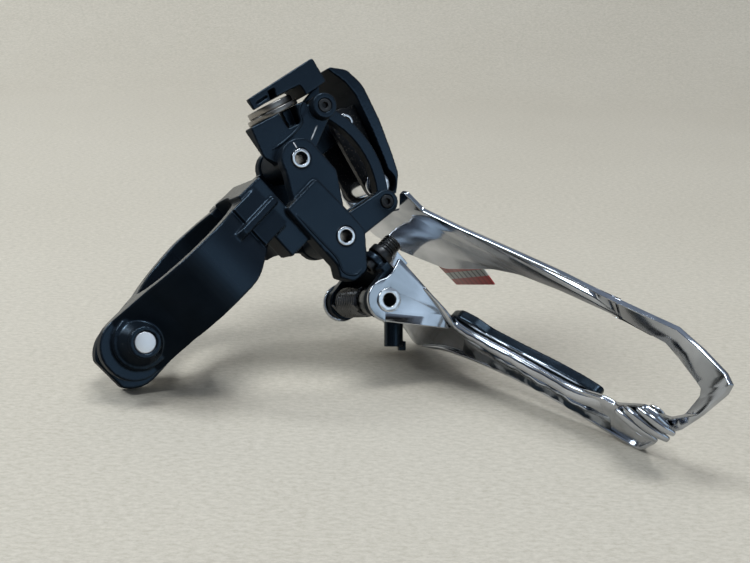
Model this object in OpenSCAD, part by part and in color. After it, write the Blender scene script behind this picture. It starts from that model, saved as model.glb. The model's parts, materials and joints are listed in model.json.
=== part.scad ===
// Front derailleur with a band clamp, a toggle linkage and a two-plate chain cage.
// Mechanism frame: x outboard, y forward along the pivots, z up the seat tube.
// The inner link's base pivot is x = 0, z = 0, and the base's front wall ends at y = 0.
// The whole object is then laid on its side, on the clamp ear and the two ends of the cage.

/* [Seat tube clamp] */
// Diameter of the seat tube that the clamp holds
tube_d = 31.8; // [31.2:0.1:32.2]
// Wall thickness of the clamp band
band_t = 3.4; // [3:0.1:3.8]
// Height of the clamp band along the seat tube
band_h = 15; // [14:0.5:16]
// Gap between the two clamp ears
ear_gap = 3.5; // [3:0.1:4]

/* [Linkage] */
// Outside diameter of the hollow pivot pins
pin_d = 4.5; // [4:0.1:4.6]
// Bore of the hollow pivot pins
pin_bore = 3.1; // [2:0.1:3.2]
// Radial running clearance of every pivot
running = 0.05; // [0.03:0.01:0.08]
// Radial clearance of the connecting link around its lower pin
toggle_play = 0.6; // [0.5:0.05:0.65]

/* [Return spring] */
// Mean radius of the coil
spring_r = 3.35; // [3.2:0.05:3.4]
// Diameter of the spring wire
spring_wire = 1.25; // [1.1:0.05:1.3]
// Number of turns
spring_turns = 11; // [9:1:11]

/* [Cage] */
// Thickness of the steel cage plates
sheet_t = 1.2; // [1.1:0.1:1.3]
// Distance between the cage plates
cage_gap = 12.3; // [12.1:0.1:12.5]

/* [Hidden] */
$fn = 48;

// Pivots, as [x, z]
inner_pivot = [0, 0];
arm_pivot = [5.3, 20.5];
outer_pivot = [25.0, 17.4];
link_drop = [-4.5, -17.0];
inner_cage = inner_pivot + link_drop;
outer_cage = outer_pivot + link_drop;
arm_end = [19.4, 25.4];
toggle_low = [16.0, -2.6];

// Depths, as [rear y, front y]
rear_wall = [-21.5, -18.0];
pad_wall = [-23.5, -18.0];
front_wall = [-3.5, 0];
hub = [-17.7, -3.8];
fork_rear = [-17.6, -15.6];
toggle = [-15.4, -11.9];
fork_front = [-11.7, -10.45];
outer_boss = [-6.1, 5.0];
outer_ear_rear = [-8.5, -6.3];
outer_ear_front = [5.2, 7.4];
yoke = [-26.4, 1.4];
cage_ear_rear = [-29.0, -27.7];
cage_ear_front = [1.8, 3.1];
cage_top_ear_rear = [-9.9, -8.7];
cage_top_ear_front = [7.6, 8.8];
cover_depth = [-12, 10.5];

// Outer link: its run, the direction towards the cover, and the extent and depth of its web
link_along = link_drop / norm(link_drop);
link_off = [-link_along[1], link_along[0]];
web_top = 3.75;
web_low = 3.3;
web_reach = 4.9;
web_start = 3;
web_end = 9;

// Clamp
tube_r = tube_d / 2 + 0.05;
tube = [-27.1, -6.5];
band_mid = 15.7;
band_low = band_mid - band_h / 2;
band_high = band_mid + band_h / 2;
band_r = tube_r + band_t;
ear_t = 4.5;
ear_end = -60.3;
clamp_bolt_at = [-51.0, 15.0];
clamp_bolt_d = 5;
boss_end = -19.6;
near_ear = [tube[1] - ear_gap / 2 - ear_t, tube[1] - ear_gap / 2];
far_ear = [tube[1] + ear_gap / 2, tube[1] + ear_gap / 2 + ear_t];
hinge_angle = 38;
hinge_at = tube + (band_r + 3.25) * [cos(hinge_angle), sin(hinge_angle)];
hinge_eye = 3.2;
hinge_pin_d = 2.6;
knuckle = [11.6, 19.6];

// Cable clamp on the arm
deck_tilt = 15.3;
deck_at = [11.0, -11.2, 31.14];
cable_bolt_d = 5;
washer_t = 1.3;
flange_t = 1.6;

// Cage
inner_face = 3.4;
outer_face = inner_face + sheet_t + cage_gap;
tail_rivet_at = [78.5, -62.5];
front_rivet_z = [-21.5, -15.5];
front_flange = [3.1, 4.4];
front_rivet_d = 0.9;
peg_hole_at = [10.5, -23];
cage_ear_r = 3.4;

// Limit screw through the inner link
limit_at = [-20.2, -10.2];
limit_d = 4;

// Lays the mechanism frame down as the object rests on a table
rest_turn = [-24.149, -35.706, 38.839];
rest_shift = [-18.36, 27.108, 28.936];

BLACK = [0.09, 0.09, 0.10];
DARK = [0.16, 0.16, 0.17];
STEEL = [0.72, 0.71, 0.69];
CHROME = [0.82, 0.84, 0.87];
RED = [0.75, 0.22, 0.20];

// ---------- helpers ----------

module resting() translate(rest_shift) rotate(rest_turn) children();

// Plate across the pivots: a 2D outline in x, z between two depths
module slab(depth) {
    translate([0, depth[1], 0]) rotate([90, 0, 0])
        linear_extrude(depth[1] - depth[0]) children();
}

// Plate along the pivots: a 2D outline in rearward, z between two x values
module blade(x0, x1) {
    translate([x1, 0, 0]) rotate([90, 0, -90]) linear_extrude(x1 - x0) children();
}

// Plate across the seat tube: a 2D outline in x, y between two heights
module plan(z0, z1) {
    translate([0, 0, z0]) linear_extrude(z1 - z0) children();
}

// Round bar along the pivots
module bar(at, d, depth) {
    translate([at[0], depth[1], at[1]]) rotate([90, 0, 0])
        cylinder(d = d, h = depth[1] - depth[0]);
}

// Outline around two circles and their outer tangents
module tangent_link(p, rp, q, rq) {
    run = q - p;
    heading = atan2(run[1], run[0]);
    open = acos((rp - rq) / norm(run));
    // the flanks start just inside the circles, so that they cross them cleanly
    inset = 0.015;
    translate(p) circle(rp);
    translate(q) circle(rq);
    polygon([
        p + (rp - inset) * [cos(heading + open), sin(heading + open)],
        p + (rp - inset) * [cos(heading - open), sin(heading - open)],
        q + (rq - inset) * [cos(heading - open), sin(heading - open)],
        q + (rq - inset) * [cos(heading + open), sin(heading + open)]]);
}

function unit(v) = v / norm(v);

function mid(span) = (span[0] + span[1]) / 2;

// Points of one rounded corner b between a and c; a corner over 7 mm long gets twice the steps
function corner(a, b, c, r) =
    let (u = unit(a - b), v = unit(c - b), half = acos(u * v) / 2,
        centre = b + unit(u + v) * r / sin(half),
        first = b + u * r / tan(half) - centre,
        last = b + v * r / tan(half) - centre,
        start = atan2(first[1], first[0]),
        sweep = atan2(last[1], last[0]) - start,
        turn = sweep > 180 ? sweep - 360 : sweep < -180 ? sweep + 360 : sweep,
        n = abs(turn) * PI / 180 * r > 7 ? 10 : 5)
    [for (i = [0:n]) centre + r * [cos(start + turn * i / n), sin(start + turn * i / n)]];

// Outline from corners given as [x, y, radius]
module rounded(corners) {
    n = len(corners);
    function at(i) = [corners[(i + n) % n][0], corners[(i + n) % n][1]];
    polygon([for (i = [0:n - 1])
        each corners[i][2] > 0 ? corner(at(i - 1), at(i), at(i + 1), corners[i][2]) : [at(i)]]);
}

// Hollow pivot pin with a rim at each end
module hollow_pin(at, depth, rim_d, rim_t) {
    difference() {
        union() {
            bar(at, pin_d, depth);
            bar(at, rim_d, [depth[0], depth[0] + rim_t]);
            bar(at, rim_d, [depth[1] - rim_t, depth[1]]);
        }
        bar(at, pin_bore, [depth[0] - 1, depth[1] + 1]);
    }
}

// Pin with a round head and a hexagon socket at its rear end
module socket_pin(at, d, depth) {
    difference() {
        bar(at, d, depth);
        translate([at[0], depth[0] + 1.2, at[1]]) rotate([90, 0, 0])
            cylinder(d = 1.7, h = 3, $fn = 6);
    }
}

// Closed strap between two edges, given as lists of [x, y, z]
module strap(edge_a, edge_b, t) {
    n = len(edge_a);
    function run(i) = edge_a[min(i + 1, n - 1)] - edge_a[max(i - 1, 0)];
    function side(i) = t * unit(cross(run(i), edge_b[i] - edge_a[i]));
    points = [for (i = [0:n - 1])
        each [edge_a[i], edge_b[i], edge_b[i] + side(i), edge_a[i] + side(i)]];
    sides = [for (i = [0:n - 2], k = [0:3])
        each let (a = 4 * i + k, b = 4 * i + (k + 1) % 4) [[a, b + 4, b], [a, a + 4, b + 4]]];
    last = 4 * (n - 1);
    caps = [[0, 1, 2], [0, 2, 3], [last + 2, last + 1, last], [last + 3, last + 2, last]];
    polyhedron(points, concat(sides, caps));
}

// ---------- base and clamp ----------

// Side view of the near clamp arm, in x, z
module near_side() {
    rounded([[ear_end, band_low - 1.4, 7.6], [ear_end, band_high - 0.3, 7.4], [-4, band_high, 0],
        [-4, band_low + 4.6, 0], [-13, band_low + 4.0, 4], [-23, band_low - 0.4, 12]]);
}

// Side view of the far clamp arm, whose ear sits a little lower
module far_side() {
    rounded([[ear_end - 1.2, band_low - 3.6, 8.2], [ear_end - 1.2, band_high - 1.8, 8.0],
        [-42, band_high - 1.4, 20], [-24, band_high, 30], [-4, band_high, 0],
        [-4, band_low, 0], [-30, band_low - 0.6, 30], [-42, band_low - 2.6, 20]]);
}

// Plan view of one clamp arm: half the ring, the ear and the flare between them
module arm_plan(ear, side) {
    flare = 218;
    difference() {
        union() {
            intersection() {
                translate(tube) circle(band_r, $fn = 96);
                translate([tube[0] - 30, side < 0 ? tube[1] - 30 : tube[1] + 1]) square([60, 30 - max(0, side)]);
            }
            translate([ear_end, ear[0]]) square([18, ear_t]);
            polygon([[-52.5, side < 0 ? ear[0] : ear[1]],
                tube + band_r * [cos(flare), side * abs(sin(flare))],
                [-40, tube[1] + side * 4], [-52.5, side < 0 ? ear[1] : ear[0]]]);
        }
        translate(tube) circle(tube_r, $fn = 96);
    }
}

module clamp_arm(ear, side) {
    intersection() {
        plan(0, 30) arm_plan(ear, side);
        slab([-40, 40]) children();
    }
}

// Raised pad on the rear wall, with the hooked nose under the inner link's pivot
module pad_outline() {
    rounded([[-6.5, 14.5, 0.8], [4.2, 14.8, 0.8], [4.8, 4, 3], [4.7, -2.4, 2.5],
        [-1.6, -9.7, 1.6], [-6.0, -9.4, 1.6], [-8.0, -6.2, 0.9], [-6.5, -3.6, 0.9]]);
}

module rear_wall_outline() {
    translate(arm_pivot) circle(4.9);
    rounded([[0.4, 21, 0], [-4.6, 12, 1], [-4.6, 3, 0], [4, 3, 1], [10.2, 12.5, 2], [10.2, 20.5, 0]]);
}

module front_wall_outline() {
    tangent_link(inner_pivot, 4.6, arm_pivot, 4.9);
    tangent_link(arm_pivot, 4.4, outer_pivot, 3.5);
    rounded([[-9, 4, 0], [0, -3, 0], [5, 22, 0], [-9, 23, 1]]);
}

module spine() {
    plan(5.2, 24.3) polygon([[-12.5, -21.3], [-5.4, -21.5], [-5.4, 0], [-12.5, 0]]);
    // rib that stiffens the near clamp arm
    plan(17.0, 18.8) polygon([[-21.5, -24.2], [-18, -25.4], [-6.4, -22.8], [-6.4, -20], [-20, -20]]);
    // root of the near clamp arm
    plan(band_low + 3.6, band_high) polygon([[-16, -23.3], [-8.2, -21.5], [-8.2, -18], [-16, -18]]);
}

module hinge_lugs() {
    for (z = [[band_low, knuckle[0] - 0.2], [knuckle[1] + 0.2, band_high]]) {
        plan(z[0], z[1]) difference() {
            union() {
                translate(hinge_at) circle(hinge_eye);
                polygon([[-8.4, -2], [-5.4, -2], hinge_at + [hinge_eye, 0], hinge_at - [1, 0]]);
            }
            translate(tube) circle(band_r + 0.1, $fn = 96);
        }
    }
}

module clamp_boss() {
    bar(clamp_bolt_at, 12.8, [near_ear[0] - 1.7, near_ear[0] + 1]);
    translate([clamp_bolt_at[0], near_ear[0] - 1.6, clamp_bolt_at[1]]) rotate([90, 0, 0])
        cylinder(r1 = 5.4, r2 = 3.7, h = 3.2);
    bar(clamp_bolt_at, 7.4, [boss_end, near_ear[0]]);
}

module base_body() color(BLACK) resting() difference() {
    union() {
        slab(rear_wall) rear_wall_outline();
        slab(pad_wall) pad_outline();
        slab(front_wall) front_wall_outline();
        bar(outer_pivot, 6.4, outer_boss);
        bar(arm_pivot, 7.4, [front_wall[0], front_wall[1] + 1.2]);
        bar(inner_pivot, 7.4, [front_wall[0], front_wall[1] + 1.2]);
        spine();
        clamp_arm(near_ear, -1) near_side();
        clamp_boss();
        hinge_lugs();
    }
    // seat tube
    translate([tube[0], tube[1], 0]) cylinder(r = tube_r, h = 40, $fn = 96);
    // pivots
    bar(arm_pivot, pin_d + 2 * running, [-30, 10]);
    bar(inner_pivot, pin_d + 2 * running, [-30, 10]);
    bar(outer_pivot, pin_d + 2 * running, [-12, 12]);
    // clamp bolt and hinge pin
    bar(clamp_bolt_at, clamp_bolt_d + 2 * running, [-40, 0]);
    translate([hinge_at[0], hinge_at[1], 0]) cylinder(d = hinge_pin_d + 2 * running, h = 40);
}

module clamp_band() color(BLACK) resting() difference() {
    union() {
        difference() {
            clamp_arm(far_ear, 1) far_side();
            // the outboard end stops short of the base
            plan(0, 40) polygon([[-27.1, -6.5], [20, -6.5], [20, 19.5], [-27.1 + 36, -6.5 + 24]]);
        }
        plan(knuckle[0], knuckle[1]) intersection() {
            difference() {
                union() {
                    translate(hinge_at) circle(hinge_eye);
                    polygon([tube + (tube_r + 1) * [cos(34), sin(34)], hinge_at + [0.5, -0.6],
                        hinge_at + [-1.5, 2.9], tube + (tube_r + 2) * [cos(52), sin(52)]]);
                }
                translate(tube) circle(tube_r, $fn = 96);
            }
            translate([-30, -20]) square(60);
        }
    }
    bar(clamp_bolt_at, clamp_bolt_d + 0.8, [-20, 10]);
    // spot face under the bolt's washer
    bar(clamp_bolt_at, 11.6, [far_ear[1], far_ear[1] + 9]);
    translate([hinge_at[0], hinge_at[1], 0]) cylinder(d = hinge_pin_d + 2 * running, h = 40);
}

module clamp_hinge_pin() color(STEEL) resting()
    translate([hinge_at[0], hinge_at[1], band_low - 0.3])
        cylinder(d = hinge_pin_d, h = band_h + 0.6);

module clamp_bolt() color(STEEL) resting() difference() {
    union() {
        bar(clamp_bolt_at, clamp_bolt_d, [boss_end + 0.3, far_ear[1] + 3]);
        bar(clamp_bolt_at, 8.4, [far_ear[1] + 1.1, far_ear[1] + 5.1]);
    }
    translate([clamp_bolt_at[0], far_ear[1] + 6, clamp_bolt_at[1]]) rotate([90, 0, 0])
        cylinder(d = 4.62, h = 3.4, $fn = 6);
}

module clamp_washer() color(STEEL) resting() difference() {
    bar(clamp_bolt_at, 10.4, [far_ear[1] + 0.05, far_ear[1] + 1.05]);
    bar(clamp_bolt_at, clamp_bolt_d + 0.8, [far_ear[1] - 1, far_ear[1] + 2]);
}

module arm_pivot_pin() color(STEEL) resting()
    hollow_pin(arm_pivot, [rear_wall[0] - 0.35, front_wall[1] + 1.5], pin_d, 0.3);

module inner_pivot_pin() color(STEEL) resting()
    hollow_pin(inner_pivot, [pad_wall[0] - 0.35, front_wall[1] + 1.5], pin_d, 0.3);

module outer_pivot_pin() color(STEEL) resting()
    hollow_pin(outer_pivot, [outer_ear_rear[0] - 0.3, outer_ear_front[1] + 0.3], pin_d, 0.3);

// Thin polymer washers between the moving hubs and the walls of the base
module pivot_bushes() color(DARK) resting() {
    for (p = [arm_pivot, inner_pivot]) {
        for (y = [rear_wall[1] + 0.03, front_wall[0] - 0.27]) {
            difference() {
                bar(p, 7.6, [y, y + 0.24]);
                bar(p, pin_d + 2 * running, [y - 1, y + 1]);
            }
        }
    }
}

// ---------- cable arm and toggle ----------

// Places a child on the sloping deck of the cable arm
module on_deck(lift = 0) {
    translate(deck_at) rotate([0, deck_tilt, 0]) translate([0, 0, lift]) children();
}

// Plan view of a block whose inboard side draws in towards the front
module drafted(x0, x1) polygon([[x0, -17.5], [x1, -17.5], [x1, -4.4], [x0 + 7.5, -4.4]]);

module cable_arm() color(BLACK) resting() difference() {
    union() {
        bar(arm_pivot, 9.0, hub);
        intersection() {
            slab([-17.5, -4.4]) rounded([[-0.2, 26.2, 0.8], [2.4, 33.5, 0.6], [17.0, 29.5, 0.8],
                [17.4, 26, 1], [12, 22, 1], [7, 19.5, 0], [2.5, 20.5, 0]]);
            plan(0, 50) drafted(-0.6, 30);
        }
        slab(fork_rear) tangent_link(arm_pivot, 3.4, arm_end, 3.0);
        bar(arm_end, 6.2, [-20, fork_rear[1]]);
        slab(fork_front) tangent_link(arm_pivot, 3.4, arm_end, 3.0);
        slab(fork_front) rounded([[15, 24, 0], [21.5, 24.5, 1], [25.2, 29.1, 0], [22.4, 29.3, 0], [16, 28.5, 1]]);
    }
    bar(arm_pivot, pin_d + 2 * running, [-30, 10]);
    bar(arm_end, 3.2 + 2 * running, [-30, 10]);
    on_deck(-12) cylinder(d = cable_bolt_d + 2 * running, h = 14);
    // recess beside the block's near face
    slab([-20, -13.5]) polygon([[10.2, 32], [14.9, 30.6], [13.2, 26], [9.4, 27.2]]);
    // clears the connecting link's upper eye
    slab([toggle[0] - 0.15, toggle[1] + 0.15]) tangent_link(arm_end, 3.3, arm_end + [3, -18], 7.5);
}

module cable_washer() color(STEEL) resting() on_deck(0.05) difference() {
    cylinder(d = 13.2, h = washer_t);
    translate([0, 0, -1]) cylinder(d = cable_bolt_d + 0.2, h = 4);
}

module cable_fixing_bolt() color(STEEL) resting() on_deck(washer_t + 0.1) difference() {
    union() {
        cylinder(d = 11.6, h = flange_t);
        translate([0, 0, -8.5]) cylinder(d = cable_bolt_d, h = 9);
    }
    translate([0, 0, 0.5]) cylinder(d = 4.62, h = 3, $fn = 6);
}

module cable_guide_bracket() color(BLACK) resting() difference() {
    intersection() {
        slab([-17.2, -5.6]) rounded([[6.0, 35.9, 0.4], [6.8, 38.75, 0.4], [26.2, 35.5, 0.6],
            [24.9, 29.1, 0], [18.6, 29.9, 0], [19.2, 32.8, 0.6], [12.2, 34.7, 0.3]]);
        plan(0, 50) drafted(5.4, 40);
    }
    // notch that the cable's end is tucked through
    slab([-18, -13]) polygon([[10.4, 34], [11.9, 37.0], [13.6, 36.5], [12.2, 34]]);
    slab([-18, -16.3]) translate([7.6, 36.4]) rotate(-9) square([3.2, 0.5]);
}

module arm_end_pin() color(DARK) resting() socket_pin(arm_end, 3.2, [-20.1, fork_front[1]]);

// The toggle's curved link: an arc through both of its eyes
module connecting_link() color(BLACK) resting() {
    chord = toggle_low - arm_end;
    rise = 4.6;
    half = norm(chord) / 2;
    arc_r = (half * half + rise * rise) / (2 * rise);
    out = unit([-chord[1], chord[0]]);
    mid = (arm_end + toggle_low) / 2 + out * rise;
    c = mid - out * arc_r;
    slab(toggle) difference() {
        union() {
            intersection() {
                difference() {
                    translate(c) circle(arc_r + 1.5, $fn = 128);
                    translate(c) circle(arc_r - 1.5, $fn = 128);
                }
                polygon([c, c + 3 * (arm_end - c), c + 3 * (mid - c), c + 3 * (toggle_low - c)]);
            }
            translate(arm_end) circle(2.9);
            translate(toggle_low) circle(3.1);
        }
        translate(arm_end) circle(1.6 + running);
        translate(toggle_low) circle(1.6 + toggle_play);
    }
}

// ---------- links ----------

module inner_link() color(BLACK) resting() difference() {
    union() {
        bar(inner_pivot, 8.8, hub);
        slab(fork_rear) tangent_link(inner_pivot, 3.6, toggle_low, 3.0);
        slab(fork_front) tangent_link(inner_pivot, 3.6, toggle_low, 3.0);
        // web between the hub and the yoke
        slab([hub[0] + 0.1, hub[1]]) rounded([[0.1, -1, 0], [4, -1, 0], [2.7, -18.2, 0.8], [0.1, -18.2, 0.8]]);
        slab(yoke) rounded([[0.1, -11.0, 0], [2.7, -11.0, 0.5], [2.7, -18.2, 0.8], [0.1, -18.2, 0.8]]);
        // ears on the cage pin
        for (y = [[yoke[0], yoke[0] + 2.9], [yoke[1] - 2.8, yoke[1]]]) {
            slab(y) tangent_link(inner_cage, 4.4, [1.2, -13.4], 1.5);
        }
        // boss of the limit screw
        translate([1.2, limit_at[0], limit_at[1]]) rotate([0, 90, 0]) cylinder(d = 6.0, h = 1.8);
    }
    bar(inner_pivot, pin_d + 2 * running, [-30, 10]);
    bar(inner_cage, pin_d + 2 * running, [-40, 10]);
    bar(toggle_low, 3.2 + 2 * running, [-30, 10]);
    translate([-2, limit_at[0], limit_at[1]]) rotate([0, 90, 0]) cylinder(d = limit_d + 2 * running, h = 12);
}

module toggle_lower_pin() color(DARK) resting() socket_pin(toggle_low, 3.2, [fork_rear[0] - 0.3, fork_front[1]]);

// Coil around the cage pin with its two legs
module return_spring() color(DARK) resting() {
    pitch = 14.6 / spring_turns;
    for (i = [0:spring_turns - 1]) {
        translate([inner_cage[0], -2.2 - spring_wire / 2 - i * pitch, inner_cage[1]]) rotate([90, 0, 0])
            rotate_extrude($fn = 40) translate([spring_r, 0]) circle(d = min(spring_wire, pitch * 0.97), $fn = 10);
    }
    for (y = [-2.2 - spring_wire, -2.2 - (spring_turns - 1) * pitch - spring_wire]) {
        translate([inner_cage[0] - spring_r, y + spring_wire / 2, inner_cage[1]])
            cylinder(d = spring_wire * 0.9, h = 6.5, $fn = 8);
    }
}

module spring_seats() color(DARK) resting() {
    for (y = [[-23.3, -18.6], [-2.1, -1.5]]) {
        difference() {
            bar(inner_cage, 7.2, y);
            bar(inner_cage, pin_d + 2 * running, [y[0] - 1, y[1] + 1]);
        }
    }
}

module limit_screw() color(BLACK) resting() {
    translate([-0.3, limit_at[0], limit_at[1]]) rotate([0, 90, 0]) difference() {
        union() {
            cylinder(d = limit_d, h = 9.6);
            for (i = [0:7]) translate([0, 0, 5.9 + 0.5 * i]) cylinder(d = limit_d + 0.5, h = 0.25);
        }
        translate([0, 0, -1]) cylinder(d = 2.3, h = 2.6, $fn = 6);
    }
}

module limit_lock_nut() color(BLACK) resting()
    translate([3.5, limit_at[0], limit_at[1]]) rotate([0, 90, 0]) difference() {
        cylinder(d = 6.2, h = 1.9);
        translate([0, 0, -1]) cylinder(d = limit_d + 2 * running, h = 4);
    }

module outer_link() color(BLACK) resting() difference() {
    top = outer_pivot - web_start * link_along;
    low = outer_pivot + web_end * link_along;
    union() {
        slab(outer_ear_rear) tangent_link(outer_pivot, 3.8, outer_cage, 3.2);
        slab(outer_ear_front) tangent_link(outer_pivot, 3.8, outer_cage, 3.2);
        slab([outer_ear_rear[0], outer_ear_front[1]]) polygon([
            top + web_top * link_off, top + web_reach * link_off,
            low + web_reach * link_off, low + web_low * link_off]);
        for (y = [outer_ear_rear, outer_ear_front]) slab(y)
            polygon([top, top + web_reach * link_off, low + web_reach * link_off, low]);
    }
    // the cover lies against the web
    slab([cover_depth[0] - 1, cover_depth[1] + 1]) offset(delta = 0.03) cover_outline();
    bar(outer_pivot, pin_d + 2 * running, [-20, 20]);
    bar(outer_cage, pin_d + 2 * running, [-20, 20]);
}

module cover_outline() {
    rounded([[29.4, 30.7, 0.3], [30.4, 30.4, 0.6], [33.4, 27.0, 3], [34.0, 21.6, 8],
        [31.2, 12.0, 20], [27.9, 4.0, 8], [25.6, -0.9, 4], [21.5, -4.2, 0.6], [20.7, -3.4, 0.5],
        [23.3, 0.2, 3], [25.1, 4.3, 7], [27.8, 11.6, 18], [30.7, 21.2, 7], [30.7, 25.4, 2]]);
}

// Curved cover on the outboard side of the outer link, hollowed round the cage's upper pivot
module outer_link_cover() color(BLACK) resting() difference() {
    slab(cover_depth) cover_outline();
    bar(outer_cage, 2 * (cage_ear_r + 0.3), [cover_depth[0] - 1, cover_depth[1] + 1]);
}

// Heads of the two screws that hold the cover, on the inner side of the link's web
module cover_screws() color(DARK) resting() for (s = [3.4, 7.4]) {
    face = web_top + (web_low - web_top) * (s + web_start) / (web_start + web_end);
    seat = outer_pivot + s * link_along + face * link_off;
    translate([seat[0], 2.3, seat[1]]) rotate([0, 90 - atan2(link_off[1], link_off[0]), 0])
        translate([0, 0, -0.65]) cylinder(d = 3.0, h = 0.55);
}

// ---------- cage ----------

module inner_cage_pin() color(STEEL) resting() difference() {
    union() {
        bar(inner_cage, pin_d, [cage_ear_rear[0] - 0.5, cage_ear_front[1] + 0.5]);
        bar(inner_cage, 5.7, [cage_ear_rear[0] - 0.6, cage_ear_rear[0] - 0.05]);
        bar(inner_cage, 5.7, [cage_ear_front[1] + 0.05, cage_ear_front[1] + 0.5]);
    }
    bar(inner_cage, pin_bore + 0.2, [-40, 10]);
}

module outer_cage_pin() color(STEEL) resting()
    hollow_pin(outer_cage, [cage_top_ear_rear[0] - 0.3, cage_top_ear_front[1] + 0.3], 5.8, 0.25);

// Inner plate, in rearward, z
module inner_plate_outline() {
    rounded([[29.0, -12.1, 0.6], [27.4, -14.0, 1], [-4.4, -14.0, 2], [-4.4, -26, 6], [-1.6, -33, 8],
        [-4.6, -40.4, 1.5], [12, -41.2, 30], [26, -45.5, 40], [38.8, -51.2, 60], [49.5, -57.8, 60],
        [57.9, -65.0, 40], [64.0, -70.4, 20], [67.5, -72.0, 2], [74.4, -69.2, 6], [77.6, -66.9, 3],
        [84.6, -64.4, 1.5], [83.9, -60.2, 1.5], [82.0, -57.3, 1.5], [71.5, -57.6, 3], [68.5, -55.6, 3],
        [60.4, -53.5, 20], [47.1, -44.3, 60], [34, -35.8, 20], [29.0, -30.6, 2]]);
}

module cage_inner_plate() color(CHROME) resting() difference() {
    fold = inner_face + sheet_t;
    union() {
        blade(inner_face, fold) inner_plate_outline();
        slab(cage_ear_rear) {
            translate(inner_cage) circle(5.2);
            rounded([[-4.5, -11.8, 0], [0, -13.2, 6], [2.6, -12.6, 1], [fold, -11.9, 0.4], [fold, -31.6, 0],
                [2.2, -33.4, 1], [-8.9, -19.8, 0]]);
        }
        slab(cage_ear_front) {
            translate(inner_cage) circle(4.9);
            polygon([[-4.5, -12.1], [fold, -14.0], [fold, -25.0], [-8.0, -20.4]]);
        }
        // front bridge to the outer plate
        slab(front_flange) rounded([[inner_face, -14, 0], [outer_face - 0.05, -14, 0],
            [outer_face - 0.05, -23, 0], [11, -23.6, 3], [inner_face, -25, 0]]);
    }
    bar(inner_cage, pin_d + 2 * running, [-40, 10]);
    blade(inner_face - 5, inner_face + 5) translate(tail_rivet_at) circle(1.55);
    blade(inner_face - 5, inner_face + 5) translate(peg_hole_at) circle(1.45);
    bridge_rivets(front_rivet_d + 0.04, 3);
}

// Stubs in the end of the front bridge, or the pockets that hold them
module bridge_rivets(d, length) {
    for (z = front_rivet_z) translate([outer_face - 1.0, mid(front_flange), z])
        rotate([0, 90, 0]) cylinder(d = d, h = length);
}

// Outer plate, in rearward, z, up to where the tail turns down
module outer_plate_outline() {
    rounded([[-8.8, -4.6, 1.5], [8.6, -4.6, 1], [10.0, -6.2, 1], [17.6, -6.2, 2],
        [24.8, -1.8, 2], [27.2, -2.4, 0.8], [28.0, -7.9, 1.5],
        [37.6, -14.6, 30], [48.8, -21.4, 40], [63.5, -30.7, 60], [76.2, -40.2, 60], [85.8, -46.6, 1],
        [80.2, -50.8, 1], [73.0, -44.8, 40], [58.8, -36.0, 40], [47.7, -30.5, 20], [38, -28.1, 20],
        [14.6, -26.4, 8], [4.5, -21.6, 6], [-1.0, -18.8, 2], [-8.8, -12, 3]]);
}

// Strap of the tail: out along the blade, down, and back in to the inner plate
module outer_tail() {
    x = outer_face - 0.01;
    outer_edge = [[x, -76.2, -40.2], [x, -89.0, -48.4], [x - 1.4, -93.8, -52.6], [x - 3.4, -98.9, -57.2],
        [x - 4.8, -100.6, -58.5], [x - 6.2, -99.0, -59.8], [x - 9.6, -92.0, -62.6], [x - 11.8, -86.0, -65.2],
        [x - 12.1, -76.0, -68.0]];
    inner_edge = [[x, -73.0, -44.8], [x, -81.6, -51.9], [x - 1.6, -84.9, -54.9], [x - 4.4, -89.7, -58.2],
        [x - 5.7, -91.9, -59.1], [x - 6.8, -91.4, -60.3], [x - 9.6, -87.0, -62.8], [x - 11.8, -84.0, -62.6],
        [x - 12.1, -76.0, -60.0]];
    strap(outer_edge, inner_edge, sheet_t + 0.02);
}

module cage_outer_plate() color(CHROME) resting() difference() {
    union() {
        blade(outer_face, outer_face + sheet_t) outer_plate_outline();
        outer_tail();
        for (y = [cage_top_ear_rear, cage_top_ear_front]) slab(y) {
            translate(outer_cage) circle(cage_ear_r);
            polygon([[outer_face, -9.5], [outer_face + sheet_t, -9.5], [outer_face + sheet_t, -7],
                outer_cage + [0.6, -3.3], outer_cage + [-2.7, 2.0], [outer_face, -1]]);
        }
    }
    bar(outer_cage, pin_d + 2 * running, [-20, 20]);
    blade(0, 30) translate(tail_rivet_at) circle(1.55);
}

// Resin rubbing strip on the chain side of the inner plate
module skid_plate() color(BLACK) resting() blade(inner_face + sheet_t + 0.05, inner_face + sheet_t + 2.4)
    rounded([[24.0, -33.6, 1], [27.2, -31.5, 2], [31.8, -31.5, 3], [35.6, -34.0, 5], [38.6, -37.6, 6],
        [45.6, -42.2, 30], [56.0, -48.4, 30], [61.5, -52.4, 10], [65.6, -56.2, 1.2], [63.0, -58.2, 1.5],
        [52.0, -52.6, 40], [36.0, -44.0, 40], [24.0, -38.0, 2]]);

// Peg that clips the rubbing strip through the inner plate
module skid_clip_peg() color(BLACK) resting() translate([2.6, -10.5, -23.0]) rotate([0, 225, 0]) {
    cylinder(d = 3.2, h = 2.4);
    translate([0, 0, 1.8]) cylinder(d = 4.8, h = 10.2);
    translate([-3.2, -0.7, 10.6]) cube([1.8, 1.4, 2.4]);
}

module tail_rivet() color(STEEL) resting() translate([0, -tail_rivet_at[0], tail_rivet_at[1]]) rotate([0, 90, 0]) {
    translate([0, 0, inner_face - 0.7]) cylinder(d = 3.0, h = 4.2);
    translate([0, 0, inner_face - 0.8]) cylinder(d = 4.8, h = 0.75);
    translate([0, 0, inner_face + 3.1]) cylinder(d = 4.4, h = 0.6);
}

module front_rivets() color(STEEL) resting() bridge_rivets(front_rivet_d, 0.9);

module alignment_label() color(RED) resting() blade(outer_face + sheet_t + 0.02, outer_face + sheet_t + 0.27)
    rounded([[8.6, -22.0, 0.3], [10.2, -32.8, 0.3], [29.7, -33.8, 0.3], [32.0, -22.5, 0.3]]);

// ---------- assembly ----------

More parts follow.
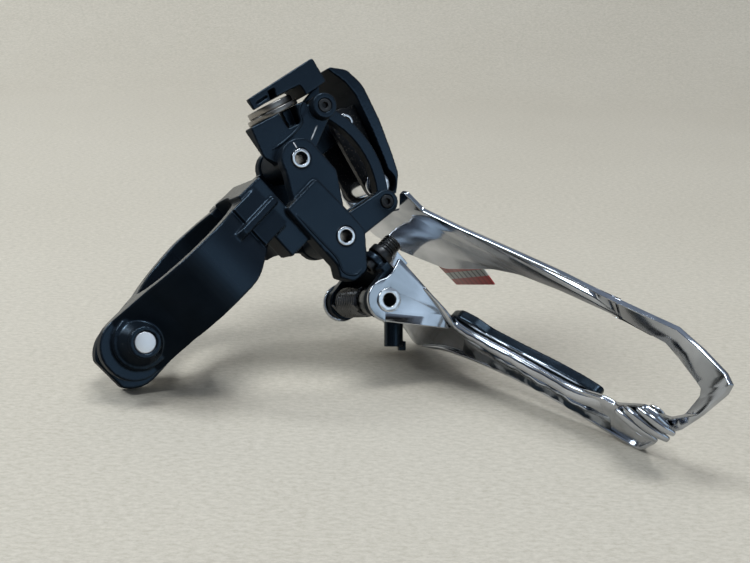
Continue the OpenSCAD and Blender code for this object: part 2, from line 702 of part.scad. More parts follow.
base_body();
clamp_band();
clamp_hinge_pin();
clamp_bolt();
clamp_washer();
arm_pivot_pin();
inner_pivot_pin();
outer_pivot_pin();
pivot_bushes();
cable_arm();
cable_fixing_bolt();
cable_washer();
cable_guide_bracket();
arm_end_pin();
connecting_link();
inner_link();
toggle_lower_pin();
return_spring();
spring_seats();
limit_screw();
limit_lock_nut();
outer_link();
outer_link_cover();
cover_screws();
inner_cage_pin();
outer_cage_pin();
cage_inner_plate();
cage_outer_plate();
skid_plate();
skid_clip_peg();
tail_rivet();
front_rivets();
alignment_label();
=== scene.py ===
"""Looks of the front derailleur: materials, rounded edges and fine pieces around the CAD frame."""
import json
import math

import bmesh
import bpy
from mathutils import Euler, Matrix, Vector


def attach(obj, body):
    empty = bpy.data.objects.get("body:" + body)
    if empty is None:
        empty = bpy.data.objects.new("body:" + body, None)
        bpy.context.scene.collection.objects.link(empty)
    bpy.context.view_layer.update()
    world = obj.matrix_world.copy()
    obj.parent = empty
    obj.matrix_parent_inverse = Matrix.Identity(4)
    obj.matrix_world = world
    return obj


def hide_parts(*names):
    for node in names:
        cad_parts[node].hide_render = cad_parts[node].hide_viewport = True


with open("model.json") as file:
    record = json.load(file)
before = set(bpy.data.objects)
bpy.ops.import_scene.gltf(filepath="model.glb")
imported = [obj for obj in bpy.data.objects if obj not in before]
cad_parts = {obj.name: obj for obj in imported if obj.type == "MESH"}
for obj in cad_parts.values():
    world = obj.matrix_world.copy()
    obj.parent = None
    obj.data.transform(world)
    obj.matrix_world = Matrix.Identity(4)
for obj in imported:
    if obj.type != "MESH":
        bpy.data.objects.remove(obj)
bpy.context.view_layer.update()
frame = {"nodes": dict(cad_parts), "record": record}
NODES = frame["nodes"]
MM = 0.001

# The mechanism frame of the CAD source: x outboard, y forward along the pivots, z up the seat tube.
# REST_TURN and REST_SHIFT lay it down on the table, as part.scad does.
REST_TURN = Euler([math.radians(a) for a in (-24.149, -35.706, 38.839)], "XYZ").to_matrix()
REST_SHIFT = Vector((-18.36, 27.108, 28.936)) * MM
TO_TABLE = Matrix.Translation(REST_SHIFT) @ REST_TURN.to_4x4() @ Matrix.Scale(MM, 4)
OUTBOARD = REST_TURN @ Vector((1, 0, 0))

# Colours that the greys of a material are multiplied by
# The blue of the blacks is a painted sheen: the bluish reflection of sky and window, put into their colour
PAINTED_SHEEN_BLUE = (0.62, 0.92, 1.35)
COOL_STEEL = (0.99, 1.0, 1.02)
WARM_STEEL = (1.0, 0.94, 0.87)
COOL_SHEEN = (0.50, 0.74, 1.0, 1.0)


# ---------------------------------------------------------------- shader nodes

def new_material(name):
    mat = bpy.data.materials.new(name)
    mat.use_nodes = True
    tree = mat.node_tree
    tree.nodes.clear()
    out = tree.nodes.new("ShaderNodeOutputMaterial")
    shader = tree.nodes.new("ShaderNodeBsdfPrincipled")
    tree.links.new(shader.outputs["BSDF"], out.inputs["Surface"])
    return mat, tree, shader


def feed(tree, value, socket):
    """Links a node's output to a socket, or sets the socket's own value."""
    if isinstance(value, bpy.types.NodeSocket):
        tree.links.new(value, socket)
    else:
        socket.default_value = value


def object_coords(tree, scale=(1, 1, 1), turn=(0, 0, 0)):
    coords = tree.nodes.new("ShaderNodeTexCoord")
    mapping = tree.nodes.new("ShaderNodeMapping")
    mapping.inputs["Scale"].default_value = scale
    mapping.inputs["Rotation"].default_value = turn
    tree.links.new(coords.outputs["Object"], mapping.inputs["Vector"])
    return mapping.outputs["Vector"]


def noise(tree, vector, scale, detail=4.0, rough=0.55, distortion=0.0):
    node = tree.nodes.new("ShaderNodeTexNoise")
    node.inputs["Scale"].default_value = scale
    node.inputs["Detail"].default_value = detail
    node.inputs["Roughness"].default_value = rough
    node.inputs["Distortion"].default_value = distortion
    tree.links.new(vector, node.inputs["Vector"])
    return node.outputs["Fac"]


def ramp(tree, fac, stops, interpolation="LINEAR"):
    """Colours along a value. stops is a list of (position, colour)."""
    node = tree.nodes.new("ShaderNodeValToRGB")
    node.color_ramp.interpolation = interpolation
    elements = node.color_ramp.elements
    elements[0].position, elements[0].color = stops[0]
    elements[1].position, elements[1].color = stops[-1]
    for position, colour in stops[1:-1]:
        elements.new(position).color = colour
    tree.links.new(fac, node.inputs["Fac"])
    return node.outputs["Color"]


def span(tree, fac, low, high, start=0.3, end=0.7):
    """Stretches a value from start-end to low-high."""
    node = tree.nodes.new("ShaderNodeMapRange")
    node.inputs["From Min"].default_value = start
    node.inputs["From Max"].default_value = end
    node.inputs["To Min"].default_value = low
    node.inputs["To Max"].default_value = high
    tree.links.new(fac, node.inputs["Value"])
    return node.outputs["Result"]


def combined(tree, operation, a, b):
    """A math operation on two values."""
    node = tree.nodes.new("ShaderNodeMath")
    node.operation = operation
    tree.links.new(a, node.inputs[0])
    tree.links.new(b, node.inputs[1])
    return node.outputs[0]


def mixed(tree, fac, a, b):
    """A mix of two colours."""
    node = tree.nodes.new("ShaderNodeMix")
    node.data_type = "RGBA"
    feed(tree, fac, node.inputs["Factor"])
    feed(tree, a, node.inputs[6])
    feed(tree, b, node.inputs[7])
    return node.outputs[2]


def bump(tree, shader, height, strength, distance, under=None):
    """Bump on the shader's surface, over the bump that under names if there is one."""
    node = tree.nodes.new("ShaderNodeBump")
    node.inputs["Strength"].default_value = strength
    node.inputs["Distance"].default_value = distance
    tree.links.new(height, node.inputs["Height"])
    if under is not None:
        tree.links.new(under, node.inputs["Normal"])
    tree.links.new(node.outputs["Normal"], shader.inputs["Normal"])
    return node.outputs["Normal"]


def grey(value, tint=(1.0, 1.0, 1.0)):
    return (value * tint[0], value * tint[1], value * tint[2], 1.0)


# ---------------------------------------------------------------- materials

def painted(name, tones, rough, grain, shine, edge_highlight):
    """Painted or anodised black: fine grain, patchy sheen, a blue painted sheen in its colour and a painted
    highlight that makes it slightly paler on its pointy edges.
    """
    mat, tree, shader = new_material(name)
    where = object_coords(tree)
    patches = noise(tree, where, scale=90.0, detail=5.0, rough=0.6)
    base = ramp(tree, patches, [(0.3, grey(tones[0], PAINTED_SHEEN_BLUE)), (0.7, grey(tones[1], PAINTED_SHEEN_BLUE))])
    geometry = tree.nodes.new("ShaderNodeNewGeometry")
    # Painted highlight: pointy edges, broken up by noise, are mixed towards a paler grey, as light lines
    # along the edges
    edges = span(tree, geometry.outputs["Pointiness"], 0.0, 0.35, start=0.54, end=0.66)
    painted_edge_highlight = combined(tree, "MULTIPLY", edges, noise(tree, where, scale=420.0, detail=3.0))
    tree.links.new(mixed(tree, painted_edge_highlight, base, grey(edge_highlight)), shader.inputs["Base Color"])
    smears = noise(tree, where, scale=160.0, detail=6.0, rough=0.65)
    tree.links.new(span(tree, smears, *rough), shader.inputs["Roughness"])
    pores = noise(tree, where, scale=grain, detail=3.0, rough=0.5)
    bump(tree, shader, pores, strength=0.25, distance=0.06 * MM)
    shader.inputs["Specular IOR Level"].default_value = shine
    shader.inputs["Specular Tint"].default_value = COOL_SHEEN
    return mat


def matt_inside(mat, rough_inside, rough):
    """Leaves the side of a painted casting that faces the seat tube as cast: rough and dull."""
    tree = mat.node_tree
    shader = next(node for node in tree.nodes if node.type == "BSDF_PRINCIPLED")
    shine = shader.inputs["Specular IOR Level"].default_value
    shine_inside = 0.04
    coords = tree.nodes.new("ShaderNodeTexCoord")
    facing = tree.nodes.new("ShaderNodeVectorMath")
    facing.operation = "DOT_PRODUCT"
    facing.inputs[1].default_value = OUTBOARD
    tree.links.new(coords.outputs["Normal"], facing.inputs[0])
    for socket, inside, outside in (("Specular IOR Level", shine_inside, shine),
                                    ("Roughness", rough_inside, rough)):
        value = span(tree, facing.outputs["Value"], inside, outside, start=-0.35, end=-0.05)
        tree.links.new(value, shader.inputs[socket])
    return mat


def metal(name, tones, rough, stretch=(1, 1, 1), strength=0.12, tint=COOL_STEEL):
    """Bare, plated or oiled steel with drawn scratches and a slight variation of tone."""
    mat, tree, shader = new_material(name)
    where = object_coords(tree)
    drawn = object_coords(tree, stretch)
    tone = noise(tree, where, scale=120.0, rough=0.6)
    colour = ramp(tree, tone, [(0.3, grey(tones[0], tint)), (0.7, grey(tones[1], tint))])
    tree.links.new(colour, shader.inputs["Base Color"])
    shader.inputs["Metallic"].default_value = 1.0
    smears = noise(tree, drawn, scale=260.0, detail=5.0, rough=0.6)
    tree.links.new(span(tree, smears, *rough), shader.inputs["Roughness"])
    bump(tree, shader, noise(tree, drawn, scale=900.0, rough=0.6), strength, distance=0.04 * MM)
    return mat


def chrome(name, patch_scale, dark, light):
    """Polished chrome over pressed sheet: very smooth, with slow waves and a few fine lines."""
    mat, tree, shader = new_material(name)
    where = object_coords(tree)
    tone = noise(tree, where, patch_scale, detail=3.0, rough=0.5)
    tree.links.new(ramp(tree, tone, [(0.42, dark), (0.58, light)]), shader.inputs["Base Color"])
    shader.inputs["Metallic"].default_value = 1.0
    smears = noise(tree, where, scale=240.0, detail=6.0, rough=0.7)
    tree.links.new(span(tree, smears, 0.08, 0.16), shader.inputs["Roughness"])
    slow = noise(tree, where, scale=45.0, detail=1.0, rough=0.4, distortion=0.3)
    waves = bump(tree, shader, slow, strength=0.05, distance=0.3 * MM)
    drawn = object_coords(tree, scale=(1.0, 16.0, 16.0), turn=(0.4, 0.5, -0.7))
    lines = noise(tree, drawn, scale=300.0, detail=3.0)
    bump(tree, shader, lines, strength=0.10, distance=0.03 * MM, under=waves)
    return mat


def cast_grain():
    """Cast inner face of the outer link: dark, with a sandy glitter."""
    mat, tree, shader = new_material("cast_grain")
    where = object_coords(tree)
    specks = tree.nodes.new("ShaderNodeTexVoronoi")
    specks.inputs["Scale"].default_value = 1600.0
    tree.links.new(where, specks.inputs["Vector"])
    sand, soot = (0.10, 0.085, 0.07, 1), (0.006, 0.007, 0.009, 1)
    colour = ramp(tree, specks.outputs["Distance"], [(0.10, sand), (0.26, soot)])
    tree.links.new(colour, shader.inputs["Base Color"])
    tree.links.new(span(tree, noise(tree, where, scale=500.0), 0.40, 0.60), shader.inputs["Roughness"])
    shader.inputs["Specular IOR Level"].default_value = 0.2
    bump(tree, shader, specks.outputs["Distance"], strength=0.5, distance=0.15 * MM)
    return mat


def mechanism_coords(tree):
    """Texture coordinates along the mechanism's own axes, in metres, and the same split in three."""
    coords = tree.nodes.new("ShaderNodeTexCoord")
    mapping = tree.nodes.new("ShaderNodeMapping")
    back = REST_TURN.transposed()
    mapping.inputs["Rotation"].default_value = back.to_euler("XYZ")
    mapping.inputs["Location"].default_value = -(back @ REST_SHIFT)
    tree.links.new(coords.outputs["Object"], mapping.inputs["Vector"])
    split = tree.nodes.new("ShaderNodeSeparateXYZ")
    tree.links.new(mapping.outputs["Vector"], split.inputs["Vector"])
    return mapping.outputs["Vector"], split.outputs


def label_film():
    """Printed film, from its foot up: a red strip, a grey window and a red field, all with plain bars."""
    mat, tree, shader = new_material("label_film")
    where, axes = mechanism_coords(tree)
    foot, top = -33.8 * MM, -22.0 * MM
    window_foot, window_top = 0.254, 0.44
    red, deep_red = (0.52, 0.055, 0.05, 1), (0.36, 0.03, 0.03, 1)
    window_grey, bar_grey = (0.46, 0.46, 0.44, 1), (0.05, 0.05, 0.05, 1)
    off, on = grey(0.0), grey(1.0)
    height = span(tree, axes["Z"], 0.0, 1.0, start=foot, end=top)
    in_window = ramp(tree, height, [(0.0, off), (window_foot, on), (window_top, off)], "CONSTANT")
    bars = tree.nodes.new("ShaderNodeTexWave")
    bars.inputs["Scale"].default_value = 130.0
    bars.inputs["Distortion"].default_value = 0.4
    bars.bands_direction = "Y"
    tree.links.new(where, bars.inputs["Vector"])
    field = ramp(tree, bars.outputs["Fac"], [(0.10, deep_red), (0.30, red)])
    window = ramp(tree, bars.outputs["Fac"], [(0.06, bar_grey), (0.22, window_grey)])
    tree.links.new(mixed(tree, in_window, field, window), shader.inputs["Base Color"])
    tree.links.new(span(tree, noise(tree, where, scale=300.0), 0.28, 0.45), shader.inputs["Roughness"])
    bump(tree, shader, bars.outputs["Fac"], strength=0.1, distance=0.05 * MM)
    return mat


def index_paint():
    """Paint of the index lines, a little broken up."""
    mat, tree, shader = new_material("index_paint")
    flecks = noise(tree, object_coords(tree), scale=1500.0, detail=3.0)
    tree.links.new(ramp(tree, flecks, [(0.3, grey(0.35)), (0.6, grey(0.75))]), shader.inputs["Base Color"])
    shader.inputs["Roughness"].default_value = 0.55
    return mat


def kraft_paper():
    """The paper that the object lies on: soft clouds of tone and short fibres."""
    mat, tree, shader = new_material("kraft_paper")
    clouds = noise(tree, object_coords(tree), scale=9.0, detail=6.0, rough=0.6)
    fibres = noise(tree, object_coords(tree, scale=(1, 2, 1)), scale=520.0, detail=8.0, rough=0.8)
    tone = ramp(tree, clouds, [(0.3, (0.455, 0.400, 0.325, 1)), (0.7, (0.505, 0.448, 0.370, 1))])
    specks = ramp(tree, fibres, [(0.38, (0.33, 0.285, 0.22, 1)), (0.60, (0.56, 0.50, 0.415, 1))])
    tree.links.new(mixed(tree, 0.5, tone, specks), shader.inputs["Base Color"])
    shader.inputs["Roughness"].default_value = 0.75
    bump(tree, shader, fibres, strength=0.12, distance=0.2 * MM)
    return mat


SATIN_BLACK = painted("satin_black", tones=(0.005, 0.010), rough=(0.22, 0.34),
                      grain=2600.0, shine=0.42, edge_highlight=0.07)
GLOSS_BLACK = painted("gloss_black", tones=(0.003, 0.006), rough=(0.12, 0.20),
                      grain=1800.0, shine=0.5, edge_highlight=0.05)
RESIN_BLACK = painted("resin_black", tones=(0.003, 0.006), rough=(0.16, 0.28),
                      grain=3200.0, shine=0.34, edge_highlight=0.04)
# How a texture is stretched for scratches that run along x or across it
ALONG_X = (1, 9, 9)
ACROSS_X = (6, 1, 1)
MATS = {
    "satin_black": matt_inside(SATIN_BLACK, rough_inside=0.50, rough=0.27),
    "gloss_black": matt_inside(GLOSS_BLACK, rough_inside=0.60, rough=0.14),
    "resin_black": RESIN_BLACK,
    "cast_grain": cast_grain(),
    "chromed_steel": chrome("chromed_steel", 60.0, (0.37, 0.39, 0.42, 1), (0.53, 0.55, 0.59, 1)),
    # Chrome of the channel: its near-black patches are painted reflections of the shade under the object
    "chrome_painted_reflections": chrome("chrome_painted_reflections", 210.0, (0.02, 0.03, 0.045, 1), (0.44, 0.48, 0.54, 1)),
    "bright_steel": metal("bright_steel", (0.62, 0.78), (0.16, 0.24), ALONG_X, 0.01),
    "bolt_end": metal("bolt_end", (0.78, 0.90), (0.40, 0.55), strength=0.10),
    "flange_steel": metal("flange_steel", (0.13, 0.30), (0.24, 0.38), ALONG_X, 0.06, WARM_STEEL),
    "dark_steel": metal("dark_steel", (0.035, 0.065), (0.30, 0.48)),
    "spring_steel": metal("spring_steel", (0.07, 0.13), (0.20, 0.30), ACROSS_X, 0.05),
    "label_film": label_film(),
    "index_paint": index_paint(),
}


# ---------------------------------------------------------------- CAD nodes

# Castings and mouldings: (voxel in mm, rounds of smoothing)
CAST = {
    "base_body": (0.24, 11), "clamp_band": (0.24, 14),
    "cable_arm": (0.2, 10), "cable_guide_bracket": (0.18, 10), "connecting_link": (0.18, 10),
    "inner_link": (0.2, 11), "outer_link": (0.2, 5), "outer_link_cover": (0.2, 10),
    "skid_plate": (0.18, 10), "skid_clip_peg": (0.16, 5),
}
# Pressed and turned parts: the radius of their edges in mm
EDGE = {
    "cage_inner_plate": 0.25, "cage_outer_plate": 0.25, "alignment_label": 0.03,
    "clamp_bolt": 0.3, "clamp_washer": 0.2, "clamp_hinge_pin": 0.2,
    "cable_fixing_bolt": 0.3, "cable_washer": 0.25,
    "arm_pivot_pin": 0.12, "inner_pivot_pin": 0.12, "outer_pivot_pin": 0.12, "pivot_bushes": 0.03,
    "arm_end_pin": 0.12, "toggle_lower_pin": 0.12, "inner_cage_pin": 0.12, "outer_cage_pin": 0.12,
    "limit_screw": 0.05, "limit_lock_nut": 0.2, "spring_seats": 0.15,
    "tail_rivet": 0.25, "front_rivets": 0.1, "cover_screws": 0.1,
}
# Nodes that look different from the rest of their material slot
OWN_LOOK = {
    "outer_link": "cast_grain", "clamp_bolt": "bolt_end",
    "cable_fixing_bolt": "flange_steel", "cable_washer": "flange_steel",
}


def bevelled(obj, radius):
    """Rounds a pressed or turned part's sharp edges with modifiers. Its own mesh keeps its shape."""
    weld = obj.modifiers.new("weld", "WELD")
    weld.merge_threshold = 0.004 * MM
    flat = obj.modifiers.new("flat", "DECIMATE")
    flat.decimate_type = "DISSOLVE"
    flat.angle_limit = math.radians(0.8)
    bevel = obj.modifiers.new("bevel", "BEVEL")
    bevel.width = radius * MM
    bevel.segments = 3
    bevel.limit_method = "ANGLE"
    bevel.angle_limit = math.radians(32)
    bevel.use_clamp_overlap = False
    bevel.harden_normals = True
    bevel.miter_outer = "MITER_ARC"
    for poly in obj.data.polygons:
        poly.use_smooth = True


def cast(obj, voxel, rounds):
    """Gives a cast or moulded part the soft edges and fillets of a casting."""
    remesh = obj.modifiers.new("remesh", "REMESH")
    remesh.mode = "VOXEL"
    remesh.voxel_size = voxel * MM
    remesh.use_smooth_shade = True
    smooth = obj.modifiers.new("fillets", "SMOOTH")
    smooth.factor = 0.5
    smooth.iterations = rounds


def dress_nodes():
    """Gives every CAD node the material of its slot or its own look, and rounds the edges of the listed
    cast, moulded, pressed and turned ones.
    """
    slot_of = {part["node"]: part["material_slot"] for part in frame["record"]["subparts"]}
    for node, obj in NODES.items():
        slot = slot_of[node]
        obj.data.materials.clear()
        obj.data.materials.append(MATS[OWN_LOOK.get(node, slot)])
        if node in CAST:
            cast(obj, *CAST[node])
        elif node in EDGE:
            bevelled(obj, EDGE[node])


# ---------------------------------------------------------------- tools for the fine pieces

def finished(name, bm, material, body):
    """Makes a piece of a bmesh built in the mechanism frame, in mm."""
    mesh = bpy.data.meshes.new(name)
    bmesh.ops.recalc_face_normals(bm, faces=bm.faces)
    for face in bm.faces:
        face.smooth = True
    bm.to_mesh(mesh)
    bm.free()
    mesh.transform(TO_TABLE)
    mesh.materials.append(MATS[material])
    obj = bpy.data.objects.new(name, mesh)
    bpy.context.scene.collection.objects.link(obj)
    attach(obj, body)
    return obj


def skin(bm, rings):
    """Joins closed rings of vertices into a tube and caps its ends."""
    count = len(rings[0])
    for one, two in zip(rings, rings[1:]):
        for k in range(count):
            after = (k + 1) % count
            bm.faces.new((one[k], one[after], two[after], two[k]))
    bm.faces.new(rings[0][::-1])
    bm.faces.new(rings[-1])


def sweep(path, section, across, sizes):
    """A closed section swept along a path, scaled by sizes. Its first axis keeps to the direction across."""
    across = Vector(across)
    last = len(path) - 1
    bm = bmesh.new()
    rings = []
    for i, (point, size) in enumerate(zip(path, sizes)):
        heading = (path[min(i + 1, last)] - path[max(i - 1, 0)]).normalized()
        side = (across - heading * across.dot(heading)).normalized()
        over = heading.cross(side)
        rings.append([bm.verts.new(point + (side * a + over * b) * size) for a, b in section])
    skin(bm, rings)
    return bm


def oval(width, height, count=12, power=2.6):
    """A closed section: an ellipse at power 2, squarer above it."""
    points = []
    for k in range(count):
        a = 2 * math.pi * (k + 0.5) / count
        c, s = math.cos(a), math.sin(a)
        points.append((width / 2 * math.copysign(abs(c) ** (2 / power), c),
                       height / 2 * math.copysign(abs(s) ** (2 / power), s)))
    return points


def smoothed(corners, steps=8):
    """Points of a Catmull-Rom curve through the corners."""
    points = [Vector(c) for c in corners]
    points = [2 * points[0] - points[1]] + points + [2 * points[-1] - points[-2]]
    curve = []
    for a, b, c, d in zip(points, points[1:], points[2:], points[3:]):
        for k in range(steps):
            t = k / steps
            curve.append(0.5 * ((2 * b) + (c - a) * t + (2 * a - 5 * b + 4 * c - d) * t * t
                                + (3 * b - a - 3 * c + d) * t ** 3))
    curve.append(points[-2])
    return curve


def run_out(path, over, least):
    """Sizes along a path that grow from a least share to 1 over its first points, and back at its end."""
    last = len(path) - 1
    return [least + (1 - least) * min(1.0, i / over, (last - i) / over) for i in range(last + 1)]


# ---------------------------------------------------------------- fine pieces (mechanism frame, mm)

def return_spring():
    """One continuous coil round the cage pin, with its two straight legs."""
    x, z = -4.5, -17.0
    radius, wire, turns, steps = 3.45, 0.98, 11, 36
    front, length = -2.85, 13.27
    leg, leg_steps = 2.6, 5
    count = turns * steps
    path = [Vector((x - radius, front, z + leg * (1 - k / leg_steps))) for k in range(leg_steps)]
    for i in range(count + 1):
        a = math.pi + 2 * math.pi * i / steps
        y = front - length * i / count
        path.append(Vector((x + radius * math.cos(a), y, z + radius * math.sin(a))))
    end = path[-1]
    path += [Vector((end.x, end.y, end.z + leg * k / leg_steps)) for k in range(1, leg_steps + 1)]
    bm = sweep(path, oval(wire, wire, 10, 2.0), (0, 1, 0), [1.0] * len(path))
    obj = finished("return_spring_coil", bm, "spring_steel", "cage")
    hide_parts("return_spring")


def limit_thread():
    """Thread on the free end of the limit screw."""
    y, z = -20.2, -10.2
    start, pitch, turns, steps = 5.6, 0.75, 5, 24
    radius, depth, width = 2.15, 0.36, 0.7
    path = [Vector((start + pitch * i / steps, y + radius * math.cos(2 * math.pi * i / steps),
                    z + radius * math.sin(2 * math.pi * i / steps))) for i in range(turns * steps + 1)]
    bm = sweep(path, oval(depth, width, 8, 1.6), (1, 0, 0), run_out(path, over=6.4, least=0.2))
    finished("limit_screw_thread", bm, "spring_steel", "limit_adjuster")


def pressed(name, edge_a, edge_b, shape, waves, material):
    """Sheet of the cage's inner plate, pressed up between two edges that are lists of (x, y, z).

    shape is a list of (share of the way across, height), and waves is how much the height varies
    along the run.
    """
    one, two = smoothed(edge_a), smoothed(edge_b)
    last = len(one) - 1
    shown_side = Vector((-1, -1, 0))
    sunk = 0.25
    quick, slow, offset = 0.9, 0.37, 1.0
    rings = []
    bm = bmesh.new()
    for i, (a, b, taper) in enumerate(zip(one, two, run_out(one, over=8, least=0.0))):
        run = one[min(i + 1, last)] - one[max(i - 1, 0)]
        normal = run.cross(b - a).normalized()
        if normal.dot(shown_side) < 0:
            normal = -normal
        swell = (1.0 + waves * math.sin(i * quick) * math.sin(i * slow + offset)) * taper ** 0.5
        front = [bm.verts.new(a.lerp(b, s) + normal * (h * swell if h > 0 else h)) for s, h in shape]
        back = [bm.verts.new(a.lerp(b, s) - normal * sunk) for s, _ in reversed(shape)]
        rings.append(front + back)
    skin(bm, rings)
    obj = finished(name, bm, material, "cage")
    soft = obj.modifiers.new("soft", "SUBSURF")
    soft.levels = soft.render_levels = 1


def cage_band():
    """The broad band along the upper half of the plate, from the fold to the tail."""
    upper = [(4.3, -29.15, -21.0), (4.5, -29.2, -26.5), (4.45, -29.7, -30.9), (4.1, -32.2, -34.1),
             (3.7, -36.5, -37.7), (3.5, -41.8, -41.3), (3.45, -47.4, -44.9), (3.45, -54.0, -49.5),
             (3.45, -60.2, -53.9), (3.4, -67.5, -56.6)]
    lower = [(3.7, -29.15, -21.2), (3.2, -29.2, -27.2), (2.4, -29.9, -32.8), (2.8, -31.4, -37.0),
             (3.25, -35.2, -40.4), (3.35, -40.3, -44.2), (3.38, -45.8, -48.2), (3.38, -52.2, -53.0),
             (3.38, -57.4, -57.2), (3.38, -64.0, -60.8)]
    crowned = [(0.0, -0.15), (0.05, 0.35), (0.18, 0.85), (0.38, 1.15), (0.6, 1.05), (0.82, 0.70),
               (0.94, 0.25), (1.0, -0.15)]
    pressed("cage_band", upper, lower, crowned, 0.10, "chromed_steel")


def cage_channel():
    """The channel under the band, hollow between two ridges; its chrome has painted dark reflections in
    patches.
    """
    face = 3.38
    upper = [(3.35, -29.6, -36.9)]
    upper += [(face, y, z) for y, z in ((-35.6, -41.2), (-41.0, -45.2), (-47.0, -49.6), (-53.2, -54.3),
                                        (-59.0, -58.6), (-65.5, -62.0))]
    lower = [(face, y, z) for y, z in ((-20.0, -42.8), (-28.0, -45.6), (-35.2, -48.9), (-42.0, -52.6),
                                       (-48.6, -56.7), (-54.6, -61.4), (-60.6, -66.9))]
    hollow = [(0.0, -0.1), (0.07, 0.85), (0.2, 0.5), (0.36, 0.2), (0.52, 0.08), (0.68, 0.25),
              (0.82, 0.6), (0.93, 0.95), (1.0, -0.1)]
    pressed("cage_channel", upper, lower, hollow, 0.45, "chrome_painted_reflections")


def cage_low_rim():
    """The plate's lower edge and tail, pressed over into a rounded rim that runs out at both ends."""
    x, width, height = 3.3, 1.3, 1.1
    outline = [(0.0, -40.6), (-6.0, -40.7), (-14.0, -41.5), (-26.0, -45.3), (-38.8, -51.0), (-49.0, -57.2),
               (-57.0, -63.6), (-62.5, -68.1), (-66.6, -70.7), (-70.5, -70.0), (-75.5, -67.9)]
    path = smoothed([(x, y, z) for y, z in outline])
    bm = sweep(path, oval(width, height), (1, 0, 0), run_out(path, over=9, least=0.35))
    finished("cage_low_rim", bm, "chromed_steel", "cage")


def tail_lobes():
    """The tail's sheet, folded over itself in slanted lobes where the outer plate is joined on."""
    runs = [[(2.9, -71.5, -58.6), (2.5, -74.0, -60.6), (2.4, -76.0, -64.0), (2.9, -77.0, -67.4)],
            [(2.9, -76.0, -57.4), (2.2, -79.0, -59.3), (2.0, -81.2, -62.6), (2.8, -82.4, -66.2)],
            [(3.0, -80.6, -57.4), (2.6, -83.2, -59.4), (2.6, -84.8, -62.0), (3.2, -85.6, -64.6)]]
    widths, heights = (2.9, 3.1, 2.6), (1.5, 1.9, 1.6)
    least = 0.4
    for k, (corners, width, height) in enumerate(zip(runs, widths, heights)):
        path = smoothed(corners)
        bulge = [math.sin(math.pi * (i + 1) / (len(path) + 1)) for i in range(len(path))]
        sizes = [least + (1 - least) * share ** 0.5 for share in bulge]
        bm = sweep(path, oval(height, width, 16, 2.3), (1, 0, 0), sizes)
        finished(f"tail_lobe_{k + 1}", bm, "chromed_steel", "cage")


def skid_painted_glints():
    """Two bright chrome strips along the root of the rubbing strip: painted glints of the skid plate."""
    x = 4.72
    runs = [((-37.9, -36.95), (-41.2, -39.55), (-44.4, -41.55)),
            ((-47.4, -43.35), (-51.0, -45.55), (-54.8, -47.85))]
    for k, run in enumerate(runs):
        path = smoothed([(x, y, z) for y, z in run], 4)
        bm = sweep(path, oval(0.32, 0.3, 8), (1, 0, 0), [1.0] * len(path))
        finished(f"skid_painted_glint_{k + 1}", bm, "chromed_steel", "cage")


def index_line(name, start, end, y, width, body):
    """A painted line between two points (x, z) of a face across the pivots."""
    steps, film = 6, 0.06
    a, b = Vector((start[0], y, start[1])), Vector((end[0], y, end[1]))
    path = [a.lerp(b, k / steps) for k in range(steps + 1)]
    sizes = [0.7] + [1.0] * (steps - 1) + [0.6]
    bm = sweep(path, oval(film, width, 8), (0, 1, 0), sizes)
    finished(name, bm, "index_paint", body)


def cast_step(name, outline, y, width, height, body):
    """The rounded lip of a cast step that runs over a face across the pivots, along points (x, z)."""
    path = smoothed([(x, y, z) for x, z in outline])
    bm = sweep(path, oval(height, width, 12, 2.0), (0, 1, 0), run_out(path, over=5, least=0.2))
    finished(name, bm, "satin_black", body)


def arm_and_pad():
    """Index lines and cast steps on the cable arm and on the base's clamp pad."""
    index_line("arm_index_line", (11.66, 21.44), (15.21, 22.86), -17.62, 0.36, "cable_arm_body")
    index_line("base_index_line", (6.47, 24.45), (6.22, 22.95), -21.53, 0.32, "base")
    arm_step = [(2.6, 26.2), (6.0, 25.7), (10.6, 25.6), (12.9, 26.2), (14.0, 28.0), (15.4, 29.2),
                (16.6, 29.3)]
    pad_step = [(-5.6, 12.6), (-5.4, 4.0), (-5.3, -2.0), (-6.4, -5.6), (-4.8, -8.2), (-2.0, -8.4)]
    cast_step("arm_step_lip", arm_step, -17.55, 0.8, 0.7, "cable_arm_body")
    cast_step("pad_step_lip", pad_step, -23.5, 0.6, 0.4, "base")


# ---------------------------------------------------------------- stage

def cyclorama():
    """Pale paper that runs back from the object and curves up behind it."""
    half, near, far, rise, radius = 1.6, -0.9, 0.42, 1.2, 0.30
    arc_step, arc_steps = 6, 15
    below = 0.02 * MM
    profile = [(near, 0.0), (far, 0.0)]
    profile += [(far + radius * math.sin(a), radius * (1 - math.cos(a)))
                for a in (math.radians(arc_step * i) for i in range(1, arc_steps + 1))]
    profile.append((far + radius, rise))
    mesh = bpy.data.meshes.new("paper")
    bm = bmesh.new()
    rows = [[bm.verts.new((x, y, z - below)) for x in (-half, half)] for y, z in profile]
    for a, b in zip(rows, rows[1:]):
        bm.faces.new((a[0], a[1], b[1], b[0])).smooth = True
    bm.to_mesh(mesh)
    bm.free()
    mesh.materials.append(kraft_paper())
    obj = bpy.data.objects.new("paper", mesh)
    bpy.context.scene.collection.objects.link(obj)


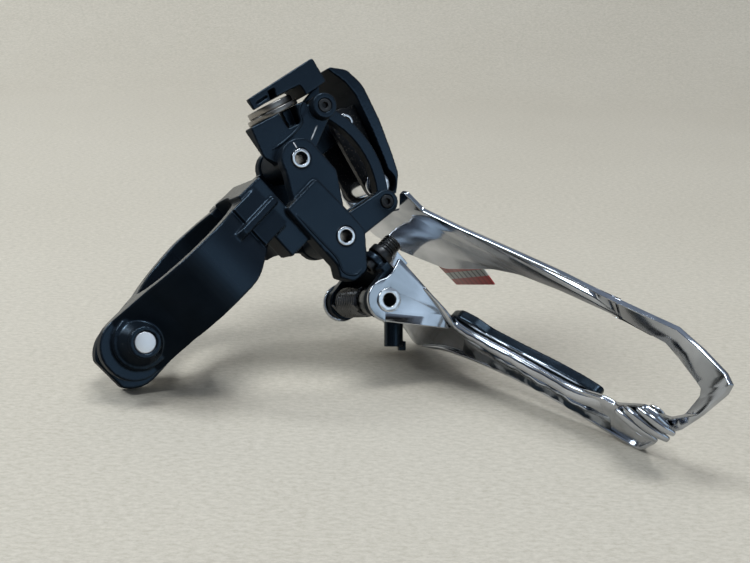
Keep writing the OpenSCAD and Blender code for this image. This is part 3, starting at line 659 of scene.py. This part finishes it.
def area_light(name, place, size, power, colour):
    """A soft panel that looks at the object."""
    middle = Vector((0.0, 0.0, 0.03))
    data = bpy.data.lights.new(name, "AREA")
    data.shape = "RECTANGLE"
    data.size, data.size_y = size
    data.energy = power
    data.color = colour
    obj = bpy.data.objects.new(name, data)
    obj.location = place
    obj.rotation_euler = (middle - Vector(place)).to_track_quat("-Z", "Y").to_euler()
    bpy.context.scene.collection.objects.link(obj)


def room():
    """The dim room round the object: dark below, pale above, a little uneven."""
    world = bpy.data.worlds.new("room")
    world.use_nodes = True
    tree = world.node_tree
    background = tree.nodes["Background"]
    coords = tree.nodes.new("ShaderNodeTexCoord")
    split = tree.nodes.new("ShaderNodeSeparateXYZ")
    tree.links.new(coords.outputs["Generated"], split.inputs["Vector"])
    upward = span(tree, split.outputs["Z"], 0.0, 1.0, start=-0.1, end=1.0)
    uneven = span(tree, noise(tree, coords.outputs["Generated"], scale=2.6, detail=2.0), -0.22, 0.22)
    walls = [(0.0, (0.03, 0.03, 0.03, 1)), (0.22, (0.06, 0.065, 0.07, 1)),
             (0.50, (0.42, 0.50, 0.62, 1)), (1.0, (0.66, 0.78, 0.98, 1))]
    colour = ramp(tree, combined(tree, "ADD", upward, uneven), walls)
    tree.links.new(colour, background.inputs["Color"])
    background.inputs["Strength"].default_value = 0.45
    bpy.context.scene.world = world


def camera():
    """The photograph's camera, solved from the parallel pivot pins and the plane of the table."""
    data = bpy.data.cameras.new("camera")
    data.sensor_width = 36.0
    data.lens = 57.6
    data.clip_start, data.clip_end = 0.01, 20.0
    obj = bpy.data.objects.new("camera", data)
    obj.location = (-0.00119, -0.2682, 0.11458)
    obj.rotation_euler = [math.radians(a) for a in (72.0678, -1.7161, 0.7314)]
    bpy.context.scene.collection.objects.link(obj)
    bpy.context.scene.camera = obj


dress_nodes()

return_spring()
cage_band()
cage_channel()
limit_thread()
cage_low_rim()
tail_lobes()
arm_and_pad()
skid_painted_glints()

cyclorama()
area_light("window", (-0.90, 0.02, 0.86), size=(0.55, 0.40), power=13.0, colour=(0.84, 0.93, 1.0))
area_light("overhead", (0.15, -0.22, 1.2), size=(0.6, 0.30), power=9.0, colour=(0.88, 0.95, 1.0))
area_light("side_fill", (0.80, -0.78, 0.34), size=(1.1, 0.5), power=1.6, colour=(0.66, 0.84, 1.0))
room()
camera()
bpy.context.scene.view_settings.view_transform = "Standard"
